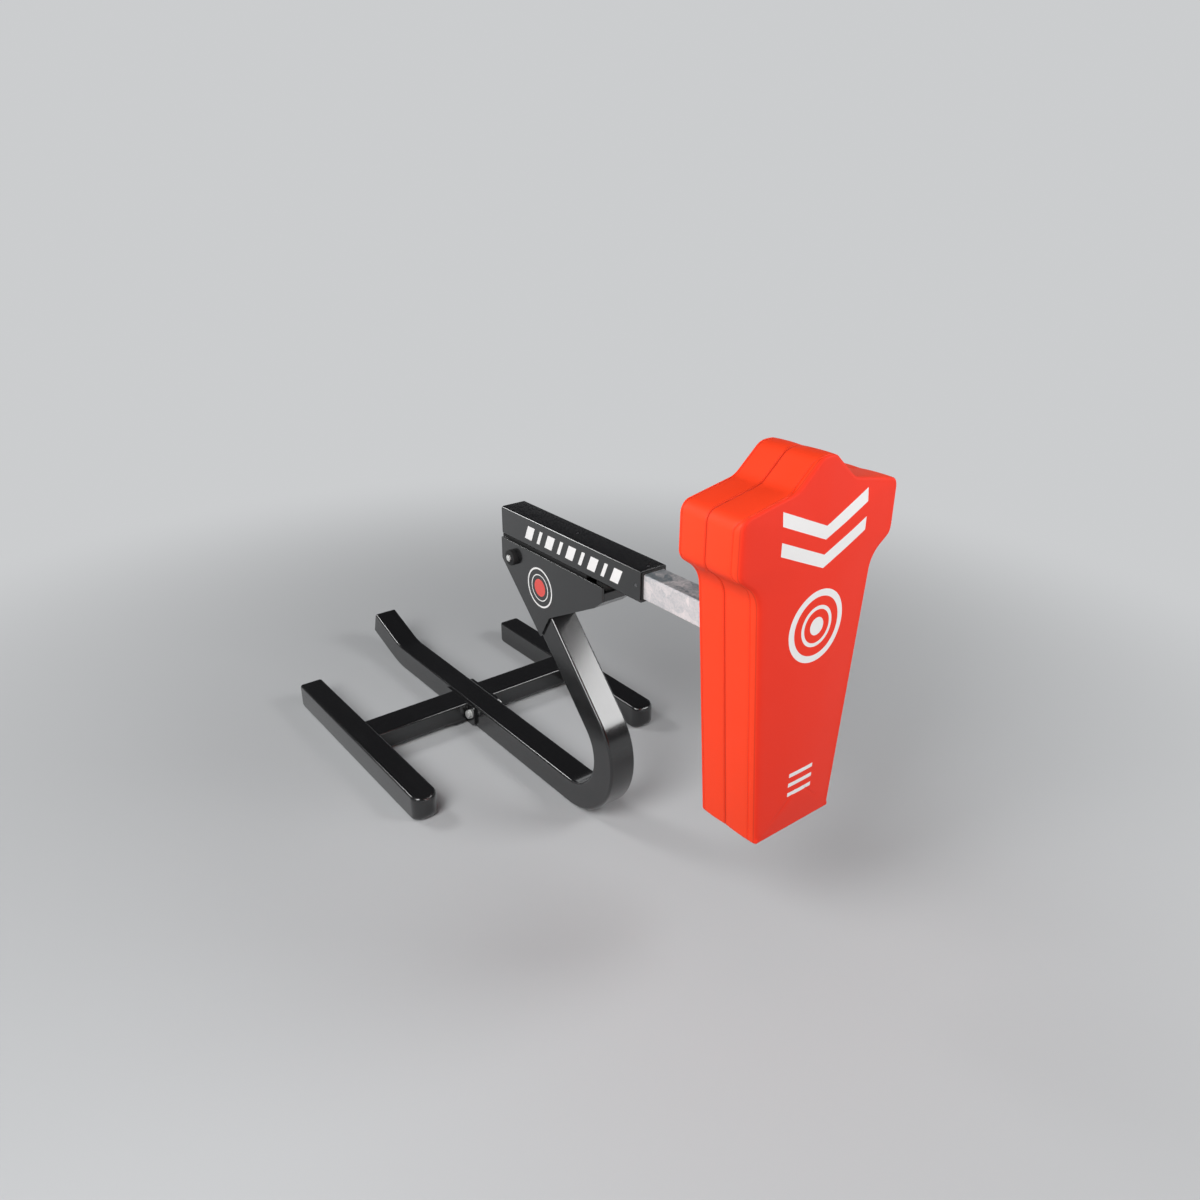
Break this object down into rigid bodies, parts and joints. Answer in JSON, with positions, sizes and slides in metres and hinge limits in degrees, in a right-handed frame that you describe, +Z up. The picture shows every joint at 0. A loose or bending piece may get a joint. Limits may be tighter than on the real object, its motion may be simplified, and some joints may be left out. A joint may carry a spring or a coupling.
{
  "type": "football blocking sled",
  "caption": "Football blocking sled: bent skid frame with side runners, a tilting housing on a pivot, and a sprung sliding arm that carries a padded body-shaped target.",
  "frame": {"origin": "on the ground, midway between the rear tip of the skid and the face of the pad, on the plane of symmetry", "axes": "+Z up, +Y towards the turned-up rear end, -Y the way the pad faces, +X to the right of someone who faces +Y"},
  "size_m": [1.092, 2.5383, 1.4907],
  "materials": {
    "black_paint": "satin",
    "galvanised": "satin",
    "zinc": "satin",
    "spring_steel": "satin",
    "black_plastic": "matte",
    "rubber": "matte",
    "vinyl_face": "satin",
    "vinyl_side": "satin",
    "foam": "matte",
    "plywood": "matte"
  },
  "bodies": {
    "frame": {"main_skid": "black_paint", "skid_tail_cap": "black_paint", "post_cap": "black_paint", "gusset_plate_left": "black_paint", "gusset_plate_right": "black_paint", "stop_plate": "black_paint", "stop_bumper": "rubber", "bumper_screw": "zinc", "pivot_collar_left": "black_paint", "pivot_collar_right": "black_paint", "pivot_bolt": "zinc", "pivot_nut": "zinc", "crossbar_left": "black_paint", "crossbar_right": "black_paint", "brace_left": "black_paint", "brace_right": "black_paint", "flange_left": "black_paint", "flange_right": "black_paint", "flange_bolt_front": "zinc", "flange_bolt_rear": "zinc", "flange_nut_front": "zinc", "flange_nut_rear": "zinc", "flange_washer_front_left": "zinc", "flange_washer_front_right": "zinc", "flange_washer_rear_left": "zinc", "flange_washer_rear_right": "zinc", "runner_left": "black_paint", "runner_right": "black_paint", "runner_nose_left": "black_paint", "runner_nose_right": "black_paint", "runner_tail_left": "black_paint", "runner_tail_right": "black_paint"},
    "housing": {"arm_housing": "black_paint", "housing_end_plate": "black_paint", "pivot_lug": "black_paint", "pivot_bush_left": "black_plastic", "pivot_bush_right": "black_plastic", "wear_sleeve_front": "black_plastic", "wear_sleeve_rear": "black_plastic", "sleeve_screw_top": "zinc", "sleeve_screw_left": "zinc", "sleeve_screw_right": "zinc", "sleeve_screw_mid": "zinc", "spring_seat": "black_plastic", "recoil_spring": "spring_steel"},
    "arm": {"arm_tube": "galvanised", "arm_end_block": "black_plastic", "pad_mount_plate": "galvanised", "pad_backboard": "plywood", "pad_foam": "foam", "pad_rear_cover": "vinyl_side", "pad_front_cover": "vinyl_face", "pad_screw_lower_left": "zinc", "pad_screw_lower_right": "zinc", "pad_screw_upper_left": "zinc", "pad_screw_upper_right": "zinc"}
  },
  "joints": [
    {"name": "arm_lift", "type": "hinge", "parent": "frame", "child": "housing", "pos_m": [0, -0.00579, 0.86083], "axis": [-1, 0, 0], "range_deg": [0, 25]},
    {"name": "arm_recoil", "type": "slide", "parent": "housing", "child": "arm", "axis": [0, 1, 0], "range_m": [0, 0.08], "stiffness_N_per_m": 6000, "springref_m": -0.03, "deforming": ["recoil_spring"]}
  ]
}
